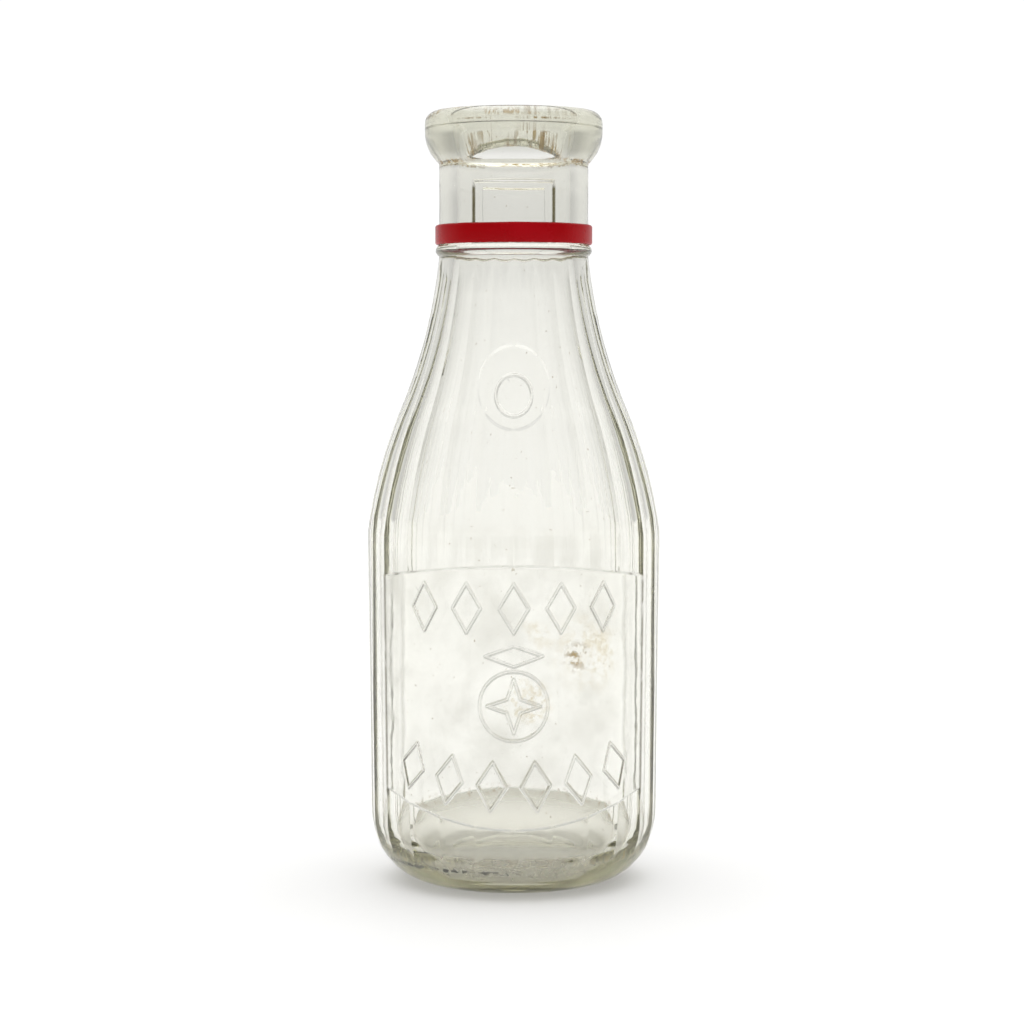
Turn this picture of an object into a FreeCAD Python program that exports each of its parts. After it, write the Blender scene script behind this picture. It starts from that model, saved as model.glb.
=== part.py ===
import FreeCAD, Part
import math
import os
import Sketcher
from FreeCAD import Placement, Rotation, Vector

# Quart milk bottle of clear moulded glass, standing on its base, with a separate red ring
# round the foot of its neck. Millimetres, +Z up, origin at the centre of the base.
# The front of the bottle, with the raised ornament, faces -Y.

DIMENSIONS = {
    # overall
    "bottle_height": 248.0,
    # base and heel
    "push_up": 2.2,
    "rest_ring_inner": 24.0,
    "heel_lower_radius": 18.0,
    "heel_upper_radius": 24.0,
    # body
    "body_foot_radius": 46.4,
    "body_top_radius": 47.4,
    "corner_radius": 25.0,
    # shoulder: a convex arc below and a concave arc above, which meet at the inflection
    "inflection_radius": 36.6,
    "inflection_height": 152.4,
    "inflection_angle": 22.8,
    "shoulder_lower_radius": 158.0,
    "shoulder_upper_radius": 172.0,
    # collar bead and neck
    "bead_radius": 2.0,
    "bead_centre_radius": 23.2,
    "bead_height": 203.4,
    "neck_radius": 24.0,
    # lip
    "lip_foot_height": 231.2,
    "lip_radius": 28.6,
    "lip_underside_radius": 13.0,
    "lip_edge_radius": 4.0,
    # inside
    "wall": 5.0,
    "cavity_radius": 42.0,
    "floor_height": 6.5,
    "floor_dome": 2.2,
    "floor_ring": 26.0,
    "throat_radius": 18.15,
    "throat_top_radius": 19.6,
    "throat_top_height": 232.0,
    "flare_top_height": 240.0,
    "seat_radius": 20.9,
    "seat_height": 243.2,
    "mouth_edge_radius": 1.5,
    # flutes
    "flute_count": 24,
    "flute_radius": 45.0,
    "flute_depth": 0.8,
    "flute_depth_inflection": 0.55,
    "flute_path_top": 202.8,
    "flute_path_top_radius": 68.8,
    # label panels, front and back
    "panel_half_width": 40.9,
    "panel_top": 105.0,
    "panel_top_side": 100.8,
    "panel_bottom": 23.3,
    "panel_bottom_side": 33.0,
    "relief_rise": 0.5,
    # medallion on the shoulder
    "medallion_height": 160.0,
    "medallion_half_width": 11.4,
    "medallion_half_height": 13.0,
    # shallow panel in the neck, front and back
    "neck_panel_half_width": 12.7,
    "neck_panel_top": 224.5,
    "neck_panel_depth": 0.5,
    # raised ornament on the front: strokes, two rows of lozenges, ringed star, crest
    "stroke": 0.9,
    "lozenge_half_width": 4.6,
    "lozenge_half_height": 7.6,
    "upper_row_count": 5,
    "upper_row_step": 18.0,
    "upper_row_height": 92.2,
    "lower_row_count": 6,
    "lower_row_step": 17.0,
    "lower_row_height": 36.8,
    "lower_row_sag": 5.0,
    "ring_radius": 10.8,
    "ring_height": 62.0,
    "star_reach": 8.4,
    "star_waist": 0.36,
    "crest_height": 77.5,
    "crest_half_width": 9.0,
    "crest_half_height": 3.2,
    "medallion_ring_height": 157.5,
    "medallion_ring_half_width": 5.6,
    "medallion_ring_half_height": 6.4,
    # red ring
    "band_bore": 24.05,
    "band_radius": 25.3,
    "band_foot": 205.3,
    "band_width": 6.4,
    "band_edge": 0.6,
}

AXIS = -2          # the sketch's own vertical axis
GROUND = -1        # the sketch's own horizontal axis
START, END, CENTRE = 1, 2, 3


def make_sheet(doc):
    """The driving dimensions, one aliased cell each."""
    sheet = doc.addObject("Spreadsheet::Sheet", "dims")
    for row, (name, value) in enumerate(DIMENSIONS.items(), start=1):
        sheet.set(f"A{row}", name)
        sheet.set(f"B{row}", str(value))
        sheet.setAlias(f"B{row}", name)
    doc.recompute()
    return sheet


def dim(name):
    """A driving dimension as the sheet holds it."""
    return float(SHEET.get(name))


def origin_plane(body, role):
    """The body's own origin plane with this role."""
    return next(item for item in body.Origin.OriginFeatures if item.Role == role)


def add_sketch(body, name, role="XZ_Plane", offset=None):
    """A sketch on one of the body's own origin planes."""
    sketch = body.newObject("Sketcher::SketchObject", name)
    sketch.AttachmentSupport = [(origin_plane(body, role), "")]
    sketch.MapMode = "FlatFace"
    if offset is not None:
        sketch.AttachmentOffset = offset
    return sketch


def on_circle(centre, radius, degrees):
    """The point of a circle at an angle from the outward direction."""
    turn = math.radians(degrees)
    return (centre[0] + radius * math.cos(turn), centre[1] + radius * math.sin(turn))


def line(start, end):
    return {"kind": "line", "ends": (start, end)}


def arc(centre, radius, first, last):
    """An arc given by its centre and the angles of its two ends, in travelling order."""
    ends = (on_circle(centre, radius, first), on_circle(centre, radius, last))
    middle = on_circle(centre, radius, (first + last) / 2)
    return {"kind": "arc", "ends": ends, "middle": middle}


def arc_through(start, middle, end):
    return {"kind": "arc", "ends": (start, end), "middle": middle}


class Outline:
    """A sketch drawn as one run of named lines and arcs, each joined to the one before."""

    def __init__(self, sketch):
        self.sketch = sketch
        self.pieces = {}
        self.last = None

    def add(self, name, piece, joint="Coincident"):
        """Add a piece; joint is Tangent where it leaves the last piece smoothly."""
        start, end = (Vector(p[0], p[1], 0) for p in piece["ends"])
        if piece["kind"] == "line":
            shape = Part.LineSegment(start, end)
        else:
            middle = Vector(piece["middle"][0], piece["middle"][1], 0)
            shape = Part.Arc(start, middle, end)
        index = self.sketch.addGeometry(shape, False)
        forward = self.sketch.getPoint(index, START).distanceToPoint(start) < 1e-6
        ends = (START, END) if forward else (END, START)
        self.pieces[name] = (index, *ends)
        if self.last is not None:
            self.join(self.last, name, joint)
        self.last = name

    def join(self, before, after, joint="Coincident"):
        index_a, _, end_a = self.pieces[before]
        index_b, start_b, _ = self.pieces[after]
        self.sketch.addConstraint(Sketcher.Constraint(joint, index_a, end_a, index_b, start_b))

    def index(self, name):
        return self.pieces[name][0]

    def position(self, name, which):
        """The sketch's own number for the start, end or centre of a piece."""
        if which == "centre":
            return CENTRE
        return self.pieces[name][1 if which == "start" else 2]

    def place(self, name, which, across=None, up=None):
        """Bind a point's distance from the axis and its height to expressions."""
        for kind, expression in (("DistanceX", across), ("DistanceY", up)):
            if expression is None:
                continue
            point = self.sketch.getPoint(self.index(name), self.position(name, which))
            value = point.x if kind == "DistanceX" else point.y
            rule = Sketcher.Constraint(
                kind, GROUND, START, self.index(name), self.position(name, which), value)
            self.bind(rule, expression)

    def radius(self, name, expression):
        value = self.sketch.Geometry[self.index(name)].Radius
        self.bind(Sketcher.Constraint("Radius", self.index(name), value), expression)

    def bind(self, rule, expression):
        number = self.sketch.addConstraint(rule)
        self.sketch.setExpression(f"Constraints[{number}]", expression)

    def on_axis(self, name, which):
        self.sketch.addConstraint(Sketcher.Constraint(
            "PointOnObject", self.index(name), self.position(name, which), AXIS))

    def level(self, name):
        self.sketch.addConstraint(Sketcher.Constraint("Horizontal", self.index(name)))

    def upright(self, name):
        self.sketch.addConstraint(Sketcher.Constraint("Vertical", self.index(name)))


def shoulder_points(offset):
    """Centres, radii and joining angles of the body's side, moved outward by offset."""
    turn = math.radians(dim("inflection_angle"))
    inflection = Vector(dim("inflection_radius"), dim("inflection_height"), 0)
    outward = Vector(math.cos(turn), math.sin(turn), 0)
    lower = inflection - outward * dim("shoulder_lower_radius")
    upper = inflection + outward * dim("shoulder_upper_radius")
    # the corner arc touches the upright body side and the convex shoulder arc from inside
    reach = dim("shoulder_lower_radius") - dim("corner_radius")
    corner_across = dim("body_top_radius") - dim("corner_radius")
    corner_up = lower.y + math.sqrt(reach ** 2 - (corner_across - lower.x) ** 2)
    corner = Vector(corner_across, corner_up, 0)
    corner_angle = math.degrees(math.atan2(corner.y - lower.y, corner.x - lower.x))
    return {
        "corner": (corner, dim("corner_radius") + offset, corner_angle),
        "lower": (lower, dim("shoulder_lower_radius") + offset),
        "upper": (upper, dim("shoulder_upper_radius") - offset),
    }


LOWER_ACROSS = (
    "dims.inflection_radius - dims.shoulder_lower_radius * cos(dims.inflection_angle * 1deg)")
FLUTE_ACROSS = "dims.body_foot_radius + dims.flute_radius - dims.flute_depth"


def draw_side(outline, foot, top, offset):
    """The side from the foot of the body to the neck, offset outward: four smooth pieces."""
    points = shoulder_points(offset)
    corner, corner_size, corner_angle = points["corner"]
    lower, lower_size = points["lower"]
    upper, upper_size = points["upper"]
    angle = dim("inflection_angle")
    top_angle = math.degrees(math.asin((upper.y - top) / upper_size))
    joint = "Coincident" if outline.last is None or outline.last == "foot" else "Tangent"
    outline.add("body", line(foot, (corner.x + corner_size, corner.y)), joint)
    outline.add("corner", arc(corner, corner_size, 0, corner_angle), "Tangent")
    outline.add("lower", arc(lower, lower_size, corner_angle, angle), "Tangent")
    outline.add("upper", arc(upper, upper_size, 180 + angle, 180 + top_angle), "Tangent")


def bind_side(outline, offset, body_offset):
    """Bind the side's sizes; the offsets are how far the shoulder and the body lie outward."""
    outline.place("body", "end", across=f"dims.body_top_radius + {body_offset}")
    outline.radius("corner", f"dims.corner_radius + {offset}")
    outline.radius("lower", f"dims.shoulder_lower_radius + {offset}")
    outline.radius("upper", f"dims.shoulder_upper_radius - {offset}")
    outline.place(
        "lower", "end",
        across=f"dims.inflection_radius + {offset} * cos(dims.inflection_angle * 1deg)",
        up=f"dims.inflection_height + {offset} * sin(dims.inflection_angle * 1deg)")


def draw_outer(sketch):
    """Half section of the bottle as if it were solid, from the base to the lip."""
    height = dim("bottle_height")
    rise = dim("push_up")
    ring = dim("rest_ring_inner")
    foot_radius = dim("body_foot_radius")
    low, high = dim("heel_lower_radius"), dim("heel_upper_radius")
    half_turn = math.sqrt(0.5)
    ring_outer = foot_radius - high * (1 - half_turn) - low * half_turn
    heel_low = (ring_outer, low)
    bend = on_circle(heel_low, low, -45)
    heel_high = (bend[0] - high * half_turn, bend[1] + high * half_turn)
    dome = (ring ** 2 - rise ** 2) / (2 * rise)
    bead_across, bead_up = dim("bead_centre_radius"), dim("bead_height")
    bead = dim("bead_radius")
    neck = dim("neck_radius")
    bead_turn = math.degrees(math.acos((neck - bead_across) / bead))
    lip, under, edge = dim("lip_radius"), dim("lip_underside_radius"), dim("lip_edge_radius")
    lip_turn = math.acos(1 - (lip - neck) / under)
    lip_side = dim("lip_foot_height") + under * math.sin(lip_turn)

    outline = Outline(sketch)
    outline.add("dome", arc_through(
        (0, rise), on_circle((0, -dome), dome + rise, 85), (ring, 0)))
    outline.add("rest", line((ring, 0), (ring_outer, 0)))
    outline.add("heel_low", arc(heel_low, low, -90, -45), "Tangent")
    outline.add("heel_high", arc(heel_high, high, -45, 0), "Tangent")
    draw_side(outline, (foot_radius, heel_high[1]), bead_up - bead, 0.0)
    outline.add("bead", arc((bead_across, bead_up), bead, -bead_turn, bead_turn))
    outline.add("neck", line(on_circle((bead_across, bead_up), bead, bead_turn),
                             (neck, dim("lip_foot_height"))))
    outline.add("underside", arc(
        (lip - under, lip_side), under, -math.degrees(lip_turn), 0))
    outline.add("lip_side", line((lip, lip_side), (lip, height - edge)), "Tangent")
    outline.add("lip_edge", arc((lip - edge, height - edge), edge, 0, 90), "Tangent")
    outline.add("top", line((lip - edge, height), (0, height)), "Tangent")
    outline.add("axis", line((0, height), (0, rise)))
    outline.join("axis", "dome")

    outline.on_axis("dome", "start")
    outline.on_axis("dome", "centre")
    outline.place("dome", "start", up="dims.push_up")
    outline.place("dome", "end", across="dims.rest_ring_inner", up="0")
    outline.level("rest")
    outline.radius("heel_low", "dims.heel_lower_radius")
    outline.radius("heel_high", "dims.heel_upper_radius")
    outline.place("heel_low", "end", up="dims.heel_lower_radius * (1 - cos(45deg))")
    outline.place("body", "start", across="dims.body_foot_radius")
    bind_side(outline, "0", "0")
    outline.place("lower", "centre", across=LOWER_ACROSS)
    outline.place("bead", "centre", across="dims.bead_centre_radius", up="dims.bead_height")
    outline.radius("bead", "dims.bead_radius")
    outline.upright("neck")
    outline.place("neck", "end", across="dims.neck_radius", up="dims.lip_foot_height")
    outline.radius("underside", "dims.lip_underside_radius")
    outline.upright("lip_side")
    outline.place("lip_side", "end", across="dims.lip_radius")
    outline.radius("lip_edge", "dims.lip_edge_radius")
    outline.level("top")
    outline.place("top", "end", up="dims.bottle_height")
    outline.on_axis("top", "end")


def draw_cavity(sketch):
    """Half section of the inside, open through the throat and the cap seat."""
    floor, rise = dim("floor_height"), dim("floor_dome")
    ring, inner = dim("floor_ring"), dim("cavity_radius")
    heel = inner - ring
    dome = (ring ** 2 - rise ** 2) / (2 * rise)
    points = shoulder_points(-dim("wall"))
    lower, lower_size = points["lower"]
    upper, _ = points["upper"]
    angle = dim("inflection_angle")
    foot_turn = math.degrees(math.acos((inner - lower.x) / lower_size))
    throat, collar = dim("throat_radius"), dim("throat_top_radius")
    seat, seat_up = dim("seat_radius"), dim("seat_height")
    edge, height = dim("mouth_edge_radius"), dim("bottle_height")
    above = height + edge

    outline = Outline(sketch)
    outline.add("dome", arc_through(
        (0, floor + rise), on_circle((0, floor - dome), dome + rise, 85), (ring, floor)))
    outline.add("heel", arc((ring, floor + heel), heel, -90, 0))
    outline.add("wall", line((inner, floor + heel), on_circle(lower, lower_size, foot_turn)),
                "Tangent")
    outline.add("lower", arc(lower, lower_size, foot_turn, angle))
    outline.add("upper", arc(upper, upper.x - throat, 180 + angle, 180), "Tangent")
    outline.add("throat", line((throat, upper.y), (throat, dim("throat_top_height"))), "Tangent")
    outline.add("flare", line((throat, dim("throat_top_height")),
                              (collar, dim("flare_top_height"))))
    outline.add("collar", line((collar, dim("flare_top_height")), (collar, seat_up)))
    outline.add("ledge", line((collar, seat_up), (seat, seat_up)))
    outline.add("seat", line((seat, seat_up), (seat, height - edge)))
    outline.add("mouth", arc((seat + edge, height - edge), edge, 180, 90), "Tangent")
    outline.add("rise", line((seat + edge, height), (seat + edge, above)))
    outline.add("cover", line((seat + edge, above), (0, above)))
    outline.add("axis", line((0, above), (0, floor + rise)))
    outline.join("axis", "dome")

    outline.on_axis("dome", "start")
    outline.on_axis("dome", "centre")
    outline.place("dome", "start", up="dims.floor_height + dims.floor_dome")
    outline.place("dome", "end", across="dims.floor_ring", up="dims.floor_height")
    outline.place("heel", "centre", across="dims.floor_ring")
    outline.upright("wall")
    outline.place("wall", "start", across="dims.cavity_radius")
    outline.radius("lower", "dims.shoulder_lower_radius - dims.wall")
    outline.place("lower", "centre", across=LOWER_ACROSS)
    outline.place(
        "lower", "end",
        across="dims.inflection_radius - dims.wall * cos(dims.inflection_angle * 1deg)",
        up="dims.inflection_height - dims.wall * sin(dims.inflection_angle * 1deg)")
    outline.upright("throat")
    outline.place("throat", "end", across="dims.throat_radius", up="dims.throat_top_height")
    outline.place("flare", "end", across="dims.throat_top_radius", up="dims.flare_top_height")
    outline.upright("collar")
    outline.place("collar", "end", up="dims.seat_height")
    outline.level("ledge")
    outline.place("ledge", "end", across="dims.seat_radius")
    outline.upright("seat")
    outline.radius("mouth", "dims.mouth_edge_radius")
    outline.place("mouth", "end", across="dims.seat_radius + dims.mouth_edge_radius",
                  up="dims.bottle_height")
    outline.upright("rise")
    outline.level("cover")
    outline.place("cover", "end", up="dims.bottle_height + dims.mouth_edge_radius")
    outline.on_axis("cover", "end")


def draw_raised(sketch):
    """Half section of the form that bounds the raised ornament, a little outside the glass."""
    rise = dim("relief_rise")
    foot, top = dim("panel_bottom"), dim("bead_height") - dim("bead_radius")
    outline = Outline(sketch)
    foot_point = (dim("body_foot_radius") + rise, foot)
    outline.add("foot", line((0, foot), foot_point))
    draw_side(outline, foot_point, top, rise)
    bind_side(outline, "dims.relief_rise", "dims.relief_rise")
    outline.place("lower", "centre", across=LOWER_ACROSS)
    upper_end = outline.sketch.getPoint(outline.index("upper"), outline.position("upper", "end"))
    outline.add("top", line((upper_end.x, upper_end.y), (0, upper_end.y)))
    outline.add("axis", line((0, upper_end.y), (0, foot)))
    outline.join("axis", "foot")
    outline.on_axis("foot", "start")
    outline.level("foot")
    outline.place("foot", "end", across="dims.body_foot_radius + dims.relief_rise",
                  up="dims.panel_bottom")
    outline.level("top")
    outline.place("top", "end", up="dims.bead_height - dims.bead_radius")
    outline.on_axis("top", "end")


def draw_flute_path(sketch):
    """The line that the centre of one flute's round cutter follows, up the outside.

    The flutes grow shallower with the girth, so the line stands a little further out above.
    """
    clear = dim("flute_radius") - dim("flute_depth_inflection")
    outline = Outline(sketch)
    draw_side(outline, (dim("body_foot_radius") + clear, 0), dim("flute_path_top"), clear)
    bind_side(outline, "(dims.flute_radius - dims.flute_depth_inflection)",
              "dims.flute_radius - dims.flute_depth")
    outline.place("body", "start", across=FLUTE_ACROSS, up="0")
    outline.place("upper", "end", "dims.flute_path_top_radius", "dims.flute_path_top")


def draw_band(sketch):
    """Section of the red ring, with rounded outer edges."""
    bore, outer = dim("band_bore"), dim("band_radius")
    foot, width, edge = dim("band_foot"), dim("band_width"), dim("band_edge")
    outline = Outline(sketch)
    outline.add("foot", line((bore, foot), (outer - edge, foot)))
    outline.add("low_edge", arc((outer - edge, foot + edge), edge, -90, 0), "Tangent")
    outline.add("face", line((outer, foot + edge), (outer, foot + width - edge)), "Tangent")
    outline.add("high_edge", arc((outer - edge, foot + width - edge), edge, 0, 90), "Tangent")
    outline.add("top", line((outer - edge, foot + width), (bore, foot + width)), "Tangent")
    outline.add("bore", line((bore, foot + width), (bore, foot)))
    outline.join("bore", "foot")
    outline.level("foot")
    outline.place("foot", "start", across="dims.band_bore", up="dims.band_foot")
    outline.radius("low_edge", "dims.band_edge")
    outline.radius("high_edge", "dims.band_edge")
    outline.upright("face")
    outline.place("face", "end", across="dims.band_radius")
    outline.level("top")
    outline.place("top", "end", up="dims.band_foot + dims.band_width")
    outline.upright("bore")


def revolved_body(doc, name, draw):
    """A body turned about the bottle's axis from one half section."""
    body = doc.addObject("PartDesign::Body", name)
    sketch = add_sketch(body, f"{name}_section")
    draw(sketch)
    turned = body.newObject("PartDesign::Revolution", f"{name}_turned")
    turned.Profile = sketch
    turned.ReferenceAxis = (sketch, ["V_Axis"])
    turned.Angle = 360
    body.Tip = turned
    doc.recompute()
    return body


def cut_flutes(doc, body):
    """Cut one concave flute with a round cutter and repeat it round the bottle."""
    half_step = 180.0 / dim("flute_count")
    turned = Rotation(Vector(0, 1, 0), half_step)
    path = add_sketch(body, "flute_path", offset=Placement(Vector(), turned))
    path.setExpression("AttachmentOffset.Rotation.Angle", "180deg / dims.flute_count")
    draw_flute_path(path)
    centre = dim("body_foot_radius") + dim("flute_radius") - dim("flute_depth")
    section = add_sketch(body, "flute_section", "XY_Plane")
    where = Vector(centre * math.cos(math.radians(half_step)),
                   centre * math.sin(math.radians(half_step)), 0)
    section.addGeometry(Part.Circle(where, Vector(0, 0, 1), dim("flute_radius")), False)
    rules = (
        (Sketcher.Constraint("Radius", 0, dim("flute_radius")), "dims.flute_radius"),
        (Sketcher.Constraint("DistanceX", GROUND, START, 0, CENTRE, where.x),
         f"({FLUTE_ACROSS}) * cos(180deg / dims.flute_count)"),
        (Sketcher.Constraint("DistanceY", GROUND, START, 0, CENTRE, where.y),
         f"({FLUTE_ACROSS}) * sin(180deg / dims.flute_count)"),
    )
    for rule, expression in rules:
        number = section.addConstraint(rule)
        section.setExpression(f"Constraints[{number}]", expression)
    doc.recompute()
    flute = body.newObject("PartDesign::SubtractivePipe", "flute")
    flute.Profile = section
    flute.Spine = (path, [f"Edge{number}" for number in range(1, 5)])
    flute.Transition = "Right corner"
    doc.recompute()
    around = body.newObject("PartDesign::PolarPattern", "flutes")
    around.Originals = [flute]
    around.Axis = (body.Origin.OriginFeatures[2], [""])
    around.Angle = 360
    around.setExpression("Occurrences", "dims.flute_count")
    body.Tip = around
    doc.recompute()
    return body


def flat_sketch(doc, name):
    """A sketch in the upright plane through the axis, seen from the front."""
    sketch = doc.addObject("Sketcher::SketchObject", name)
    sketch.Placement = Placement(Vector(), Rotation(Vector(1, 0, 0), 90))
    return sketch


def draw_panel(sketch):
    """Outline of a label panel: upright sides, arched top and a deeper curved foot."""
    half = dim("panel_half_width")
    low, low_side = dim("panel_bottom"), dim("panel_bottom_side")
    high, high_side = dim("panel_top"), dim("panel_top_side")
    outline = Outline(sketch)
    outline.add("foot", arc_through((-half, low_side), (0, low), (half, low_side)))
    outline.add("right", line((half, low_side), (half, high_side)))
    outline.add("top", arc_through((half, high_side), (0, high), (-half, high_side)))
    outline.add("left", line((-half, high_side), (-half, low_side)))
    outline.join("left", "foot")
    outline.place("right", "start", "dims.panel_half_width", "dims.panel_bottom_side")
    outline.place("right", "end", "dims.panel_half_width", "dims.panel_top_side")
    outline.place("left", "start", "-dims.panel_half_width", "dims.panel_top_side")
    outline.place("left", "end", "-dims.panel_half_width", "dims.panel_bottom_side")
    outline.radius("foot", "(dims.panel_half_width ^ 2 + (dims.panel_bottom_side - dims.panel_bottom) ^ 2)"
                   " / (2 * (dims.panel_bottom_side - dims.panel_bottom))")
    outline.radius("top", "(dims.panel_half_width ^ 2 + (dims.panel_top - dims.panel_top_side) ^ 2)"
                   " / (2 * (dims.panel_top - dims.panel_top_side))")


def draw_medallion(sketch):
    """Outline of the smooth oval on the front of the shoulder."""
    centre = Vector(0, dim("medallion_height"), 0)
    across, up = dim("medallion_half_width"), dim("medallion_half_height")
    sketch.addGeometry(Part.Ellipse(centre + Vector(0, up, 0), centre + Vector(across, 0, 0), centre))


def extrude(doc, name, sketch, front_only=False):
    """A prism from the sketch, through the whole bottle or only out of its front."""
    prism = doc.addObject("Part::Extrusion", name)
    prism.Base = sketch
    prism.DirMode = "Normal"
    prism.Solid = True
    prism.setExpression("LengthFwd", "dims.bottle_height / 4")
    if not front_only:
        prism.setExpression("LengthRev", "dims.bottle_height / 4")
    return prism


def boolean(doc, kind, name, base, tool):
    result = doc.addObject(f"Part::{kind}", name)
    result.Base = base
    result.Tool = tool
    return result


def stroke_prism(outer, inner):
    """A raised outline: the strip between two closed runs of points, drawn out to the front."""
    wires = [Part.makePolygon([Vector(x, 0, z) for x, z in run + run[:1]]) for run in (outer, inner)]
    face = Part.Face(wires[0]).cut(Part.Face(wires[1]))
    return face.extrude(Vector(0, -dim("bottle_height") / 4, 0))


def ring_prism(height, across, up, stroke):
    """An oval ring round a point on the bottle's front."""
    faces = []
    for grow in (stroke / 2, -stroke / 2):
        oval = Part.Ellipse(Vector(0, 0, height), max(across, up) + grow, min(across, up) + grow)
        oval.Axis = Vector(0, -1, 0)
        oval.XAxis = Vector(0, 0, 1) if up >= across else Vector(1, 0, 0)
        faces.append(Part.Face(Part.Wire(oval.toShape())))
    return faces[0].cut(faces[1]).extrude(Vector(0, -dim("bottle_height") / 4, 0))


def star_run(height, reach, waist, points):
    """Corners of a star: long and short arms by turns."""
    run = []
    for step in range(2 * points):
        size = reach if step % 2 == 0 else waist
        turn = math.pi * step / points
        run.append((size * math.sin(turn), height + size * math.cos(turn)))
    return run


def lozenge_run(turn, height, half_width, half_height, tilt):
    """Corners of a lozenge laid on the body at an angle from the front, leaning by tilt."""
    radius = dim("body_top_radius")
    lean = math.radians(tilt)
    run = []
    for across, up in ((0, half_height), (half_width, 0), (0, -half_height), (-half_width, 0)):
        along = across * math.cos(lean) - up * math.sin(lean)
        rise = across * math.sin(lean) + up * math.cos(lean)
        run.append((radius * math.sin(math.radians(turn) + along / radius), height + rise))
    return run


def lozenge_prism(turn, height, half_width, half_height, tilt=0.0):
    stroke = dim("stroke")
    slant = math.hypot(half_width, half_height)
    outer = lozenge_run(turn, height, half_width, half_height, tilt)
    inner = lozenge_run(turn, height, half_width - stroke * slant / half_height,
                        half_height - stroke * slant / half_width, tilt)
    return stroke_prism(outer, inner)


def ornament_prisms():
    """Every raised outline: two rows of lozenges, a ringed star between them, a small ring above."""
    stroke = dim("stroke")
    half_width, half_height = dim("lozenge_half_width"), dim("lozenge_half_height")
    prisms = []
    upper_count = int(dim("upper_row_count"))
    for place in range(upper_count):
        turn = (place - (upper_count - 1) / 2) * dim("upper_row_step")
        prisms.append(lozenge_prism(turn, dim("upper_row_height"), half_width, half_height))
    lower_count = int(dim("lower_row_count"))
    for place in range(lower_count):
        turn = (place - (lower_count - 1) / 2) * dim("lower_row_step")
        share = turn / ((lower_count - 1) / 2 * dim("lower_row_step"))
        height = dim("lower_row_height") + dim("lower_row_sag") * share ** 2
        half_span = math.radians(dim("lower_row_step") * (lower_count - 1) / 2) * dim("body_top_radius")
        tilt = math.degrees(math.atan(2 * dim("lower_row_sag") * share / half_span))
        prisms.append(lozenge_prism(turn, height, half_width, half_height, tilt))
    ring, height = dim("ring_radius"), dim("ring_height")
    prisms.append(ring_prism(height, ring, ring, stroke))
    star = dim("star_reach")
    prisms.append(stroke_prism(star_run(height, star, star * dim("star_waist"), 4),
                               star_run(height, star - 4 * stroke, star * dim("star_waist") - stroke, 4)))
    prisms.append(lozenge_prism(0, dim("crest_height"), dim("crest_half_width"), dim("crest_half_height")))
    prisms.append(ring_prism(dim("medallion_ring_height"), dim("medallion_ring_half_width"),
                             dim("medallion_ring_half_height"), stroke))
    return prisms


def build_bottle(doc):
    """The one moulded piece of glass."""
    plain = revolved_body(doc, "plain_form", draw_outer)
    fluted = cut_flutes(doc, revolved_body(doc, "fluted_form", draw_outer))
    cavity = revolved_body(doc, "cavity_form", draw_cavity)
    raised = revolved_body(doc, "raised_form", draw_raised)

    panel_sketch = flat_sketch(doc, "panel_outline")
    draw_panel(panel_sketch)
    panels = boolean(doc, "Common", "panels", plain, extrude(doc, "panel_prism", panel_sketch))
    oval_sketch = flat_sketch(doc, "medallion_outline")
    draw_medallion(oval_sketch)
    oval = extrude(doc, "medallion_prism", oval_sketch, front_only=True)
    medallion = boolean(doc, "Common", "medallion", plain, oval)

    strokes = doc.addObject("Part::Feature", "ornament_prisms")
    strokes.Shape = Part.makeCompound(ornament_prisms())
    ornament = boolean(doc, "Common", "ornament", raised, strokes)

    outside = doc.addObject("Part::MultiFuse", "outside")
    outside.Shapes = [fluted, panels, medallion, ornament]
    hollow = boolean(doc, "Cut", "hollow", outside, cavity)

    block = doc.addObject("Part::Box", "neck_panel_block")
    block.setExpression("Length", "2 * dims.neck_panel_half_width")
    block.setExpression("Width", "4 * dims.neck_radius")
    block.setExpression("Height", "dims.neck_panel_top - dims.band_foot")
    block.setExpression("Placement.Base.x", "-dims.neck_panel_half_width")
    block.setExpression("Placement.Base.y", "-2 * dims.neck_radius")
    block.setExpression("Placement.Base.z", "dims.band_foot")
    core = doc.addObject("Part::Cylinder", "neck_core")
    core.setExpression("Radius", "dims.neck_radius - dims.neck_panel_depth")
    core.setExpression("Height", "dims.bottle_height")
    neck_panels = boolean(doc, "Cut", "neck_panels", block, core)
    bottle = boolean(doc, "Cut", "glass_bottle", hollow, neck_panels)
    bottle.Label = "glass_bottle"
    doc.recompute()
    return bottle


def build_band(doc):
    """The red ring, which rests on the collar bead."""
    band = revolved_body(doc, "neck_band", draw_band)
    band.Label = "neck_band"
    return band


def check_document(doc):
    """Stop if any object of the document failed to recompute."""
    for item in doc.Objects:
        if "Invalid" in item.State or "Error" in item.State:
            raise RuntimeError(f"{item.Label} did not recompute: {item.State}")


def export_parts(parts):
    os.makedirs("parts", exist_ok=True)
    for part in parts:
        shape = part.Shape
        if shape.isNull() or not shape.isValid():
            raise RuntimeError(f"{part.Label} has no valid shape")
        shape.exportStep(f"parts/{part.Label}.step")
        box = shape.optimalBoundingBox()
        print(f"{part.Label}: {len(shape.Solids)} solid, {shape.Volume / 1000:.1f} cm3, "
              f"{box.XLength:.2f} x {box.YLength:.2f} x {box.ZLength:.2f} mm")


DOC = FreeCAD.newDocument("milk_bottle")
SHEET = make_sheet(DOC)
PARTS = [build_bottle(DOC), build_band(DOC)]
check_document(DOC)
export_parts(PARTS)
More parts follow.
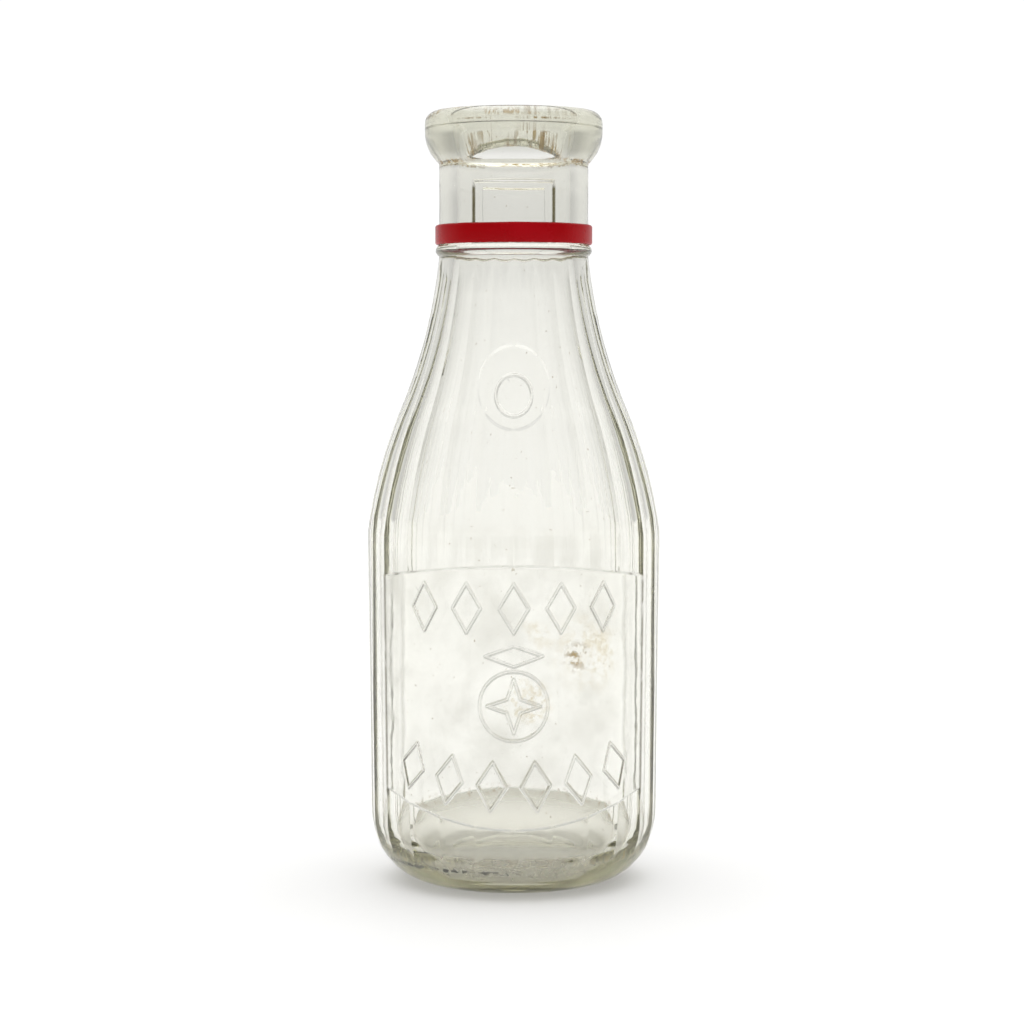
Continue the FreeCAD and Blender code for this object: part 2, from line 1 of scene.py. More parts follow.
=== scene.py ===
import math
import bpy
import numpy as np
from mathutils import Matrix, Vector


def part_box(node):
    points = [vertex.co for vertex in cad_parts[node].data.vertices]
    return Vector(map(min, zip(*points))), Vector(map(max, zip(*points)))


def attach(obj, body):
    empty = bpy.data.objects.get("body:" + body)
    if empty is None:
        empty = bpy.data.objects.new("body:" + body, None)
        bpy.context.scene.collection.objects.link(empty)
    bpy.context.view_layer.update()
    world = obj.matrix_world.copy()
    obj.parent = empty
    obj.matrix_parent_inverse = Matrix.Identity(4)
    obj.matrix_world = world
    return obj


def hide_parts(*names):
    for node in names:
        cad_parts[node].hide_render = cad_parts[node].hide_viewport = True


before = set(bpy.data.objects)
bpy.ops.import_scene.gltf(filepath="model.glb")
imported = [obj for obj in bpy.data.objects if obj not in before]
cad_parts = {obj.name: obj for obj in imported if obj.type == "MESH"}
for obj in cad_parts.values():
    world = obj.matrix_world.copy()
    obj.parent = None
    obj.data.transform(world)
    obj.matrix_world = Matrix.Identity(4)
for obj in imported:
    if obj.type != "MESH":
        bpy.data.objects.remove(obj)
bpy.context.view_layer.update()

# ---------------------------------------------------------------------------------------------
# Sizes, in millimetres. The overall sizes are the CAD model's. How soft the edges are, where the
# flutes fade and how high the strokes rise are this model's own. The bottle's front faces -Y.
# ---------------------------------------------------------------------------------------------
MM = 0.001
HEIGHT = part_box("glass_bottle")[1][2] / MM
PUSH_UP, REST_RING = 2.2, 24.0
HEEL_LOW, HEEL_HIGH = 18.0, 24.0
BODY_FOOT, BODY_TOP, CORNER = 46.4, 47.4, 25.0
INFLECTION = (36.6, 152.4)
INFLECTION_ANGLE = 22.8
SHOULDER_LOW, SHOULDER_HIGH = 158.0, 172.0
BEAD_CENTRE, BEAD = (23.2, 203.4), 2.0
NECK, LIP_FOOT = 24.0, 231.2
LIP, LIP_UNDER, LIP_EDGE = 28.6, 13.0, 4.0
WALL, CAVITY, FLOOR, FLOOR_DOME, FLOOR_RING = 5.0, 42.0, 6.5, 2.2, 26.0
THROAT, THROAT_TOP = 18.15, 19.6
FLARE_FOOT, FLARE_TOP = 232.0, 240.0
SEAT, SEAT_Z, MOUTH_EDGE = 20.9, 243.2, 1.5

FLUTES = 24
FLUTE_CUTTER = 45.0          # radius of the round section of each concave flute
RIDGE_SOFT = 0.35            # degrees over which the ridges are rounded by wear
FLUTE_TOP, FLUTE_START = 197.0, 9.0    # where the flutes begin under the bead, and how softly
FLUTE_FOOT, FLUTE_FADE = 12.8, 2.8     # where they run out on the heel, and how softly

PANEL_TURN = 60.0            # half width of a label panel, in degrees
PANEL_HALF = 40.9            # about the same half width, straight across
PANEL_TOP, PANEL_TOP_SIDE = 105.0, 100.8
PANEL_FOOT, PANEL_FOOT_SIDE = 23.3, 33.0
PANEL_SOFT, BACK_PANEL_SOFT = 0.9, 14.0     # width of the panels' edges; the back is worn
NECK_PANEL_TURN, NECK_PANEL_TOP, NECK_PANEL_DEPTH = 32.0, 224.5, 0.5
NECK_PANEL_SOFT = 0.5
MEDALLION_Z, MEDALLION, MEDALLION_SOFT = 160.0, (11.4, 13.0), 0.9
SHOULDER_RING_Z = 157.5

RELIEF, STROKE = 0.45, 0.72  # height of the raised strokes and half their width at the foot
LOZENGE = (4.6, 7.6)
UPPER_ROW = {"count": 5, "step": 18.0, "height": 92.2}
LOWER_ROW = {"count": 6, "step": 17.0, "height": 36.8, "sag": 5.0}
RING, RING_Z = 10.8, 62.0
STAR, STAR_WAIST = 8.4, 0.36
CREST, CREST_Z = (9.0, 3.2), 77.5
SHOULDER_RING = (5.6, 6.4)


# ---------------------------------------------------------------------------------------------
# Profile: one line from the centre of the base, up the outside, over the lip and down inside
# ---------------------------------------------------------------------------------------------
PROFILE_STEP = 0.05
PROFILE_SOFT = 0.22          # how far every corner of the profile is rounded
BEAD_GAP = 0.2               # between the bead and what begins beside it
FAR = 1e3                    # a distance beyond every feature


def arc(centre, radius, first, last):
    """Points along an arc; angles in degrees from the outward direction."""
    count = max(3, int(abs(math.radians(last - first)) * radius / PROFILE_STEP))
    turns = np.radians(np.linspace(first, last, count))
    return np.column_stack((centre[0] + radius * np.cos(turns), centre[1] + radius * np.sin(turns)))


def shallow(centre_z, edge, rise, outward):
    """A shallow dome from the axis to its edge; outward is False where it runs to the axis."""
    radius = (edge ** 2 + rise ** 2) / (2 * rise)
    turn = math.degrees(math.asin(edge / radius))
    dome = arc((0, centre_z + rise - radius), radius, 90, 90 - turn)
    return dome if outward else dome[::-1]


def shoulder_centres():
    """Centres of the shoulder's convex and concave arcs, which meet at the inflection."""
    turn = math.radians(INFLECTION_ANGLE)
    return [(INFLECTION[0] + radius * math.cos(turn), INFLECTION[1] + radius * math.sin(turn))
            for radius in (-SHOULDER_LOW, SHOULDER_HIGH)]


def outer_profile():
    """From the centre of the base, up the outside, to the top of the lip."""
    half = math.sqrt(0.5)
    ring_outer = BODY_FOOT - HEEL_HIGH * (1 - half) - HEEL_LOW * half
    heel_high = (BODY_FOOT - HEEL_HIGH, HEEL_LOW * (1 - half) + HEEL_HIGH * half)
    low, high = shoulder_centres()
    corner_r = BODY_TOP - CORNER
    corner_z = low[1] + math.sqrt((SHOULDER_LOW - CORNER) ** 2 - (corner_r - low[0]) ** 2)
    corner_turn = math.degrees(math.atan2(corner_z - low[1], corner_r - low[0]))
    bead_turn = math.degrees(math.acos((NECK - BEAD_CENTRE[0]) / BEAD))
    neck_foot = high[1] - BEAD_CENTRE[1] + BEAD - BEAD_GAP
    neck_foot_turn = math.degrees(math.asin(neck_foot / SHOULDER_HIGH))
    lip_turn = math.acos(1 - (LIP - NECK) / LIP_UNDER)
    lip_side = LIP_FOOT + LIP_UNDER * math.sin(lip_turn)
    return [
        shallow(0, REST_RING, PUSH_UP, True),
        arc((ring_outer, HEEL_LOW), HEEL_LOW, -90, -45),
        arc(heel_high, HEEL_HIGH, -45, 0),
        arc((corner_r, corner_z), CORNER, 0, corner_turn),
        arc(low, SHOULDER_LOW, corner_turn, INFLECTION_ANGLE),
        arc(high, SHOULDER_HIGH, 180 + INFLECTION_ANGLE, 180 + neck_foot_turn),
        arc(BEAD_CENTRE, BEAD, -bead_turn, bead_turn),
        arc((LIP - LIP_UNDER, lip_side), LIP_UNDER, -math.degrees(lip_turn), 0),
        arc((LIP - LIP_EDGE, HEIGHT - LIP_EDGE), LIP_EDGE, 0, 90),
    ]


def inner_profile():
    """From the mouth, down the inside, to the middle of the floor."""
    low, high = shoulder_centres()
    foot_turn = math.degrees(math.acos((CAVITY - low[0]) / (SHOULDER_LOW - WALL)))
    heel = CAVITY - FLOOR_RING
    return [
        arc((SEAT + MOUTH_EDGE, HEIGHT - MOUTH_EDGE), MOUTH_EDGE, 90, 180),
        np.array([(SEAT, SEAT_Z), (THROAT_TOP, SEAT_Z), (THROAT_TOP, FLARE_TOP), (THROAT, FLARE_FOOT)]),
        arc(high, high[0] - THROAT, 180, 180 + INFLECTION_ANGLE),
        arc(low, SHOULDER_LOW - WALL, INFLECTION_ANGLE, foot_turn),
        arc((FLOOR_RING, FLOOR + heel), heel, 0, -90),
        shallow(FLOOR, FLOOR_RING, FLOOR_DOME, False),
    ]


class Profile:
    """The smoothed half section, measured by the distance along it.

    The piece at lip_index ends where the outside turns into the inside.
    """

    def __init__(self, pieces, lip_index):
        corners = np.vstack(pieces)
        keep = np.r_[True, np.hypot(*np.diff(corners, axis=0).T) > 1e-6]
        corners = corners[keep]
        length = np.r_[0, np.cumsum(np.hypot(*np.diff(corners, axis=0).T))]
        count = int(length[-1] / PROFILE_STEP) + 1
        self.along = np.linspace(0, length[-1], count)
        line = np.column_stack([np.interp(self.along, length, corners[:, k]) for k in (0, 1)])
        self.r, self.z = self.smooth(line)
        step = self.along[1]
        tangent = np.column_stack((np.gradient(self.r, step), np.gradient(self.z, step)))
        self.bend = np.hypot(*np.gradient(tangent, step, axis=0).T)
        lip_point = pieces[lip_index][-1]
        self.lip = self.along[np.argmin(np.hypot(self.r - lip_point[0], self.z - lip_point[1]))]

    @staticmethod
    def smooth(line):
        """Blur the line a little, with its mirror image beyond the axis at both ends."""
        reach = int(4 * PROFILE_SOFT / PROFILE_STEP)
        flip = np.array([-1.0, 1.0])
        padded = np.vstack((line[1:reach + 1][::-1] * flip, line, line[-reach - 1:-1][::-1] * flip))
        offsets = np.arange(-reach, reach + 1) * PROFILE_STEP
        weights = np.exp(-0.5 * (offsets / PROFILE_SOFT) ** 2)
        weights /= weights.sum()
        return [np.convolve(padded[:, k], weights, mode="valid") for k in (0, 1)]

    def at(self, distance):
        """Radius and height at a distance along the profile."""
        return np.interp(distance, self.along, self.r), np.interp(distance, self.along, self.z)

    def rows(self):
        """Distances for the mesh's rows: close together where the profile bends."""
        panel_zone = (self.z > PANEL_FOOT - 2) & (self.z < PANEL_TOP + 2)
        medallion_zone = np.abs(self.z - MEDALLION_Z) < MEDALLION[1] + 1
        ornament_zone = panel_zone | medallion_zone
        outer_row = np.where(ornament_zone, ORNAMENT_ROW, PLAIN_ROW)
        spread = np.where(self.along < self.lip, outer_row, INNER_ROW)
        flute_foot = np.abs(self.z - FLUTE_FOOT) < FLUTE_FADE
        spread = np.where(flute_foot, np.minimum(spread, FLUTE_FOOT_ROW), spread)
        cost = np.maximum(1 / spread, self.bend / math.radians(ROW_BEND))
        total = np.r_[0, np.cumsum((cost[1:] + cost[:-1]) / 2 * self.along[1])]
        return np.interp(np.linspace(0, total[-1], int(total[-1]) + 2), total, self.along)


# ---------------------------------------------------------------------------------------------
# Raised strokes of the front: segments between points in millimetres round the body and up it
# ---------------------------------------------------------------------------------------------
def closed(points):
    """Segments from each point to the next, and back to the first."""
    return [(points[k], points[(k + 1) % len(points)]) for k in range(len(points))]


def lozenge(across, up, half, tilt=0.0):
    """Four strokes about a centre; half is the half width and half height, tilt in degrees."""
    lean = math.radians(tilt)
    corners = ((0, half[1]), (half[0], 0), (0, -half[1]), (-half[0], 0))
    return closed([(across + x * math.cos(lean) - z * math.sin(lean),
                    up + x * math.sin(lean) + z * math.cos(lean)) for x, z in corners])


def oval(up, half, count=48):
    """An upright oval on the middle line of the front."""
    turns = [2 * math.pi * k / count for k in range(count)]
    return closed([(half[0] * math.cos(t), up + half[1] * math.sin(t)) for t in turns])


def star(up, reach, waist, points=4):
    """A star on the middle line; waist is its inner radius as a share of its reach."""
    run = []
    for k in range(2 * points):
        size = reach if k % 2 == 0 else reach * waist
        turn = math.pi * k / points
        run.append((size * math.sin(turn), up + size * math.cos(turn)))
    return closed(run)


def ornament():
    """Segments of every raised stroke."""
    strokes = []
    for k in range(UPPER_ROW["count"]):
        turn = (k - (UPPER_ROW["count"] - 1) / 2) * UPPER_ROW["step"]
        strokes += lozenge(math.radians(turn) * BODY_TOP, UPPER_ROW["height"], LOZENGE)
    last = (LOWER_ROW["count"] - 1) / 2 * LOWER_ROW["step"]
    for k in range(LOWER_ROW["count"]):
        turn = (k - (LOWER_ROW["count"] - 1) / 2) * LOWER_ROW["step"]
        share = turn / last
        slope = 2 * LOWER_ROW["sag"] * share / (math.radians(last) * BODY_TOP)
        up = LOWER_ROW["height"] + LOWER_ROW["sag"] * share ** 2
        tilt = math.degrees(math.atan(slope))
        strokes += lozenge(math.radians(turn) * BODY_TOP, up, LOZENGE, tilt)
    strokes += oval(RING_Z, (RING, RING))
    strokes += star(RING_Z, STAR, STAR_WAIST)
    strokes += lozenge(0, CREST_Z, CREST)
    strokes += oval(SHOULDER_RING_Z, SHOULDER_RING)
    return np.array(strokes)


STROKES = ornament()


def stroke_distance(across, up):
    """Distance from each point to the nearest stroke, measured only near the ornament."""
    best = np.full(across.shape, FAR)
    near = (np.abs(across) < PANEL_HALF + 8) & (up > PANEL_FOOT - 4) & (up < MEDALLION_Z + 12)
    px, pz = across[near], up[near]
    found = np.full(px.shape, FAR)
    for (ax, az), (bx, bz) in STROKES:
        dx, dz = bx - ax, bz - az
        share = np.clip(((px - ax) * dx + (pz - az) * dz) / (dx * dx + dz * dz), 0, 1)
        found = np.minimum(found, np.hypot(px - ax - share * dx, pz - az - share * dz))
    best[near] = found
    return best


# ---------------------------------------------------------------------------------------------
# Shape of the glass: how far each point of the outside and inside lies from the profile
# ---------------------------------------------------------------------------------------------
def step_up(value, soft):
    """0 well below zero, 1 well above, smooth over the width soft."""
    share = np.clip(value / soft + 0.5, 0, 1)
    return share * share * (3 - 2 * share)


def from_front(theta):
    """Degrees round from the nearer of the front and the back, and which of them it is."""
    turn = (np.degrees(theta) + 90 + 180) % 360 - 180
    front = np.abs(turn) <= 90
    near = np.where(front, turn, turn - np.sign(turn) * 180)
    return near, front


def flute_radius(theta, r):
    """Radius of the fluted surface where the unfluted body has radius r."""
    step = 360.0 / FLUTES
    across = (np.degrees(theta)) % step - step / 2
    to_ridge = step / 2 - np.abs(across)
    turn = np.radians(step / 2 - np.sqrt(to_ridge ** 2 + RIDGE_SOFT ** 2))
    half = math.radians(step / 2)
    depth = r * (1 - math.cos(half)) + (r * math.sin(half)) ** 2 / (2 * FLUTE_CUTTER)
    centre = r - depth + FLUTE_CUTTER
    reach = np.maximum(FLUTE_CUTTER ** 2 - (centre * np.sin(turn)) ** 2, 0)
    return centre * np.cos(turn) - np.sqrt(reach)


def chord_arc(across, middle, side):
    """Height of a shallow arc through its middle and its two sides at the panel's edges."""
    return middle + (side - middle) * (np.clip(across, -PANEL_HALF, PANEL_HALF) / PANEL_HALF) ** 2


def panel_share(turn, front, z):
    """1 on a label panel, 0 off it, and the distance inside its edge."""
    across = BODY_TOP * np.sin(np.radians(np.clip(turn, -89, 89)))
    inside = np.minimum(np.minimum(
        (PANEL_TURN - np.abs(turn)) * math.radians(1) * BODY_TOP,
        chord_arc(across, PANEL_TOP, PANEL_TOP_SIDE) - z),
        z - chord_arc(across, PANEL_FOOT, PANEL_FOOT_SIDE))
    return step_up(inside, np.where(front, PANEL_SOFT, BACK_PANEL_SOFT)), inside


def medallion_share(turn, r, z):
    """1 on the plain oval of the shoulder, 0 off it, and the distance inside its edge."""
    across = np.radians(turn) * r
    reach = np.hypot(across / MEDALLION[0], (z - MEDALLION_Z) / MEDALLION[1])
    inside = (1 - reach) * MEDALLION[0]
    return step_up(inside, MEDALLION_SOFT), inside


def neck_panel_share(turn, z):
    """1 in the shallow panel of the neck, 0 off it, and the distance inside its edge."""
    inside = np.minimum((NECK_PANEL_TURN - np.abs(turn)) * math.radians(1) * NECK, NECK_PANEL_TOP - z)
    inside = np.minimum(inside, z - BEAD_CENTRE[1] - BEAD - BEAD_GAP)
    return step_up(inside, NECK_PANEL_SOFT), inside


WAVES = np.random.default_rng(7).uniform(0, 2 * math.pi, (14, 2))
WAVE_COUNT, FIRST_WAVE = 6, 3
WAVE_SIZE = 0.10             # how far the inner wall wanders at most
WAVE_FOOT = 12.0             # the wandering begins about this height, over the same width


def uneven(theta, z):
    """Slow unevenness of the inner wall: a sum of long waves round it and up it."""
    total = np.zeros_like(z)
    for k in range(WAVE_COUNT):
        round_count = 1 + (k * 2 + FIRST_WAVE) % 7
        tall = 26.0 + 17.0 * ((k * 3 + FIRST_WAVE) % 5)
        first, second = WAVES[k + FIRST_WAVE]
        total += np.sin(round_count * theta + first) * np.sin(2 * math.pi * z / tall + second)
    return total * WAVE_SIZE / WAVE_COUNT


def from_stroke(turn, front, r, z):
    """Distance from the nearest raised stroke, along the glass; far everywhere on the back."""
    across = np.radians(turn) * np.where(z > PANEL_TOP + 10, r, BODY_TOP)
    return np.where(front, stroke_distance(np.where(front, across, FAR), z), FAR)


def glass_surface(profile, theta, along):
    """Points of the glass, in millimetres, at angles theta and distances along the profile."""
    r, z = profile.at(along)
    outside = along < profile.lip
    turn, front = from_front(theta)
    fluted = np.minimum(flute_radius(theta, r), r)
    panel, _ = panel_share(turn, front, z)
    medal, _ = medallion_share(turn, r, z)
    plain = np.maximum(panel, medal * front)
    in_flutes = outside & (z > 4) & (z < FLUTE_TOP + FLUTE_START)
    ends = np.maximum(step_up(z - FLUTE_TOP, FLUTE_START), step_up(FLUTE_FOOT - z, FLUTE_FADE))
    share = plain + (1 - plain) * ends
    radius = np.where(in_flutes, fluted + (r - fluted) * share, r)
    recess, _ = neck_panel_share(turn, z)
    radius = np.where(outside & (z > FLUTE_TOP), radius - NECK_PANEL_DEPTH * recess, radius)
    away = from_stroke(turn, front, r, z)
    bump = RELIEF * 0.5 * (1 + np.cos(math.pi * np.clip(away / STROKE, 0, 1)))
    radius = np.where(outside, radius + bump, radius)
    inner_wave = uneven(theta, z) * np.clip((r - 15) / 10, 0, 1)
    radius = np.where(outside, radius, radius + inner_wave * step_up(z - WAVE_FOOT, WAVE_FOOT))
    return np.column_stack((radius * np.cos(theta), radius * np.sin(theta), z))


# how dark the painted shade is beside the strokes and along the label panel's top and foot, and how far
# it reaches from each kind of edge, in millimetres
FLANK_SHADE, RIM_SHADE = 0.36, 0.35
RIM_REACH, SIDE_REACH, NECK_REACH = 0.45, 0.75, 0.5


def edge_painted_shade(profile, theta, along):
    """0 to 1: painted shade in the flanks of the raised strokes and along the edges of the panels."""
    r, z = profile.at(along)
    turn, front = from_front(theta)
    _, panel = panel_share(turn, front, z)
    _, neck = neck_panel_share(turn, z)
    away = from_stroke(turn, front, r, z)
    flank = np.sin(math.pi * np.clip(away / STROKE, 0, 1)) ** 2
    rim = np.clip(1 - np.abs(panel + 0.2) / RIM_REACH, 0, 1) * front
    rim = rim * (np.abs(turn) < PANEL_TURN - 1)
    beyond = math.radians(1) * BODY_TOP * (PANEL_TURN - np.abs(turn))
    side = np.clip(1.8 - np.abs(beyond) / SIDE_REACH, 0, 0.9) * front
    side = side * (panel > -3) * (z < PANEL_TOP_SIDE)
    neck_edge = np.clip(1.4 - np.abs(neck) / NECK_REACH, 0, 1) * front
    neck_edge = neck_edge * np.clip((NECK_PANEL_TOP - 0.6 - z) / 1.5, 0.15, 1)
    edge_shade = np.maximum.reduce((FLANK_SHADE * flank, RIM_SHADE * rim, side, neck_edge))
    return np.where(along < profile.lip, edge_shade, 0)


def feature_distance(profile, theta, along):
    """How far a point of the outside lies from the nearest edge or stroke that needs a fine mesh."""
    r, z = profile.at(along)
    turn, front = from_front(theta)
    _, panel = panel_share(turn, front, z)
    _, medal = medallion_share(turn, r, z)
    _, neck = neck_panel_share(turn, z)
    away = from_stroke(turn, front, r, z)
    best = np.minimum(np.where(front, np.minimum(np.abs(panel), np.abs(medal)), FAR), away)
    return np.where(along < profile.lip, np.minimum(best, np.abs(neck)), FAR)


# ---------------------------------------------------------------------------------------------
# Mesh of the bottle: a grid round the profile, split finer where the glass has fine detail
# ---------------------------------------------------------------------------------------------
COLUMN_PLACES = (0.35, 1.5, 3.6, 6.2, 8.8, 11.4, 13.5, 14.65)   # degrees past each ridge
ORNAMENT_ROW, PLAIN_ROW, INNER_ROW = 2.2, 4.4, 10.0   # the tallest rows, by where they are
FLUTE_FOOT_ROW = 1.1
ROW_BEND = 13.0              # the most degrees that the profile bends in one row
FINE_ROUND, FINE_UP = 6, 6   # parts that a finely split cell has
FINE_REACH = 0.45            # cells this near to an edge or stroke are split


def column_angles():
    """Angles of the mesh's columns: closer together at the ridges between the flutes."""
    step = 360.0 / FLUTES
    return np.radians(np.array([k * step + place for k in range(FLUTES) for place in COLUMN_PLACES]))


def lattice(values, parts, wrap=None):
    """Each interval of values cut into equal parts; wrap closes the run."""
    ends = np.append(values[1:], wrap) if wrap is not None else values[1:]
    starts = values if wrap is not None else values[:-1]
    shares = np.arange(parts) / parts
    fine = (starts[:, None] + (ends - starts)[:, None] * shares).ravel()
    return fine if wrap is not None else np.append(fine, values[-1])


class Grid:
    """Cells between the columns and rows of the mesh, each one face or split into small faces."""

    def __init__(self, profile):
        self.profile = profile
        self.columns = column_angles()
        self.rows = profile.rows()[1:-1]
        self.count_round, self.count_up = len(self.columns), len(self.rows)
        self.turn_end = self.columns[0] + 2 * math.pi
        self.fine_theta = lattice(self.columns, FINE_ROUND, wrap=self.turn_end)
        self.fine_along = lattice(self.rows, FINE_UP)
        self.fine = self.fine_cells()
        self.numbers = {}

    def fine_cells(self):
        """Which cells hold an edge or a stroke, and so are split."""
        ends = np.append(self.columns[1:], self.turn_end)
        mid_theta = (self.columns + ends) / 2
        mid_along = (self.rows[1:] + self.rows[:-1]) / 2
        theta, along = np.meshgrid(mid_theta, mid_along)
        r, _ = self.profile.at(along.ravel())
        width = np.tile(ends - self.columns, len(mid_along)) * r
        reach = np.hypot(width, np.repeat(np.diff(self.rows), self.count_round)) / 2 + FINE_REACH
        near = feature_distance(self.profile, theta.ravel(), along.ravel()) < reach
        return near.reshape(theta.shape)

    def vertex(self, i, j):
        """Number of the vertex at fine row i and fine column j."""
        key = (i, j % (self.count_round * FINE_ROUND))
        return self.numbers.setdefault(key, len(self.numbers))

    def split_cell(self, i, j):
        """The small faces of a split cell."""
        faces = []
        for up in range(i * FINE_UP, (i + 1) * FINE_UP):
            for turn in range(j * FINE_ROUND, (j + 1) * FINE_ROUND):
                faces.append((self.vertex(up, turn), self.vertex(up, turn + 1),
                              self.vertex(up + 1, turn + 1), self.vertex(up + 1, turn)))
        return faces

    def plain_cell(self, i, j):
        """The one face of a plain cell, with more points on the sides it shares with split cells."""
        low = self.fine[i - 1, j] if i else False
        high = self.fine[i + 1, j] if i < self.count_up - 2 else False
        left, right = self.fine[i, j - 1], self.fine[i, (j + 1) % self.count_round]
        foot, top = i * FINE_UP, (i + 1) * FINE_UP
        start, end = j * FINE_ROUND, (j + 1) * FINE_ROUND
        run = [(foot, start + step) for step in (range(FINE_ROUND) if low else (0,))]
        run += [(foot + step, end) for step in (range(FINE_UP) if right else (0,))]
        run += [(top, end - step) for step in (range(FINE_ROUND) if high else (0,))]
        run += [(top - step, start) for step in (range(FINE_UP) if left else (0,))]
        return [tuple(self.vertex(*key) for key in run)]

    def faces(self):
        """Faces of all the cells."""
        faces = []
        for i in range(self.count_up - 1):
            for j in range(self.count_round):
                faces += self.split_cell(i, j) if self.fine[i, j] else self.plain_cell(i, j)
        return faces

    def caps(self, base, floor):
        """Triangles that close the middle of the base and of the floor at those two points."""
        last = (self.count_up - 1) * FINE_UP
        faces = []
        for j in range(self.count_round):
            here, there = j * FINE_ROUND, (j + 1) * FINE_ROUND
            faces.append((base, self.vertex(0, there), self.vertex(0, here)))
            faces.append((floor, self.vertex(last, here), self.vertex(last, there)))
        return faces

    def places(self):
        """Angle of each vertex, and its distance along the profile."""
        keys = np.array(list(self.numbers))
        return self.fine_theta[keys[:, 1]], self.fine_along[keys[:, 0]]


def bottle_mesh():
    """Points, faces, normals and attributes of the glass, in metres."""
    outer, inner = outer_profile(), inner_profile()
    profile = Profile(outer + inner, len(outer) - 1)
    grid = Grid(profile)
    faces = grid.faces()
    theta, along = grid.places()
    points = glass_surface(profile, theta, along)
    normals = surface_normals(profile, theta, along)
    inside = (along > profile.lip).astype(float)
    # painted shade along the strokes and the panels' edges, carried to the material per point
    edge_shade = edge_painted_shade(profile, theta, along)

    faces += grid.caps(len(points), len(points) + 1)
    points = np.vstack((points, (0, 0, profile.z[0]), (0, 0, profile.z[-1])))
    normals = np.vstack((normals, (0, 0, -1), (0, 0, 1)))
    inside = np.append(inside, (0, 1))
    edge_shade = np.append(edge_shade, (0, 0))
    return points * MM, faces, normals, {"inside": inside, "edge_shade": edge_shade}


def surface_normals(profile, theta, along, step=0.04):
    """Outward normals of the glass, from small steps round and along it."""
    r, _ = profile.at(along)
    turn = step / np.maximum(r, 1.0)
    around = glass_surface(profile, theta + turn, along) - glass_surface(profile, theta - turn, along)
    upward = glass_surface(profile, theta, along + step) - glass_surface(profile, theta, along - step)
    normal = np.cross(around, upward)
    return normal / np.linalg.norm(normal, axis=1)[:, None]


def make_object(name, points, faces, normals=None, layers=None):
    """A smooth-shaded object, with its own normals and point attributes if given."""
    mesh = bpy.data.meshes.new(name)
    mesh.from_pydata(points.tolist(), [], faces)
    mesh.validate()
    mesh.update()
    for polygon in mesh.polygons:
        polygon.use_smooth = True
    for layer_name, values in (layers or {}).items():
        layer = mesh.attributes.new(layer_name, "FLOAT", "POINT")
        layer.data.foreach_set("value", values)
    if normals is not None:
        mesh.normals_split_custom_set_from_vertices(normals.tolist())
    obj = bpy.data.objects.new(name, mesh)
    bpy.context.scene.collection.objects.link(obj)
    return obj


# ---------------------------------------------------------------------------------------------
# Red ring
# ---------------------------------------------------------------------------------------------
BAND_BORE = NECK + 0.05
BAND_EDGE = 0.75             # radius of the ring's outer edges
BAND_BEVEL = (0.25, 0.3)     # width and height of the bevel at its bore
BAND_COLUMNS = 180


def band_mesh():
    """The ring, with rounded edges that wander very slightly."""
    low, high = (np.array(corner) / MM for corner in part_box("neck_band"))
    outer = (high[0] - low[0]) / 2
    foot, top = low[2], high[2]
    wide, tall = BAND_BEVEL
    section = np.vstack((
        [(BAND_BORE, foot + tall), (BAND_BORE + wide, foot)],
        arc((outer - BAND_EDGE, foot + BAND_EDGE), BAND_EDGE, -90, 0)[::3],
        arc((outer - BAND_EDGE, top - BAND_EDGE), BAND_EDGE, 0, 90)[::3],
        [(BAND_BORE + wide, top), (BAND_BORE, top - tall)],
    ))
    points = []
    for k in range(BAND_COLUMNS):
        theta = 2 * math.pi * k / BAND_COLUMNS
        for r, z in section:
            near_top = (z - foot) / (top - foot)
            waver = 0.06 * math.sin(3 * theta + 1.0) + 0.04 * math.sin(7 * theta + 2.2)
            lift = -abs(waver) * near_top + abs(waver) * (1 - near_top) * 0.3
            points.append((r * math.cos(theta), r * math.sin(theta), z + lift))
    size = len(section)
    faces = []
    for k in range(BAND_COLUMNS):
        this, following = k * size, (k + 1) % BAND_COLUMNS * size
        for m in range(size):
            n = (m + 1) % size
            faces.append((this + m, following + m, following + n, this + n))
    return np.array(points) * MM, faces


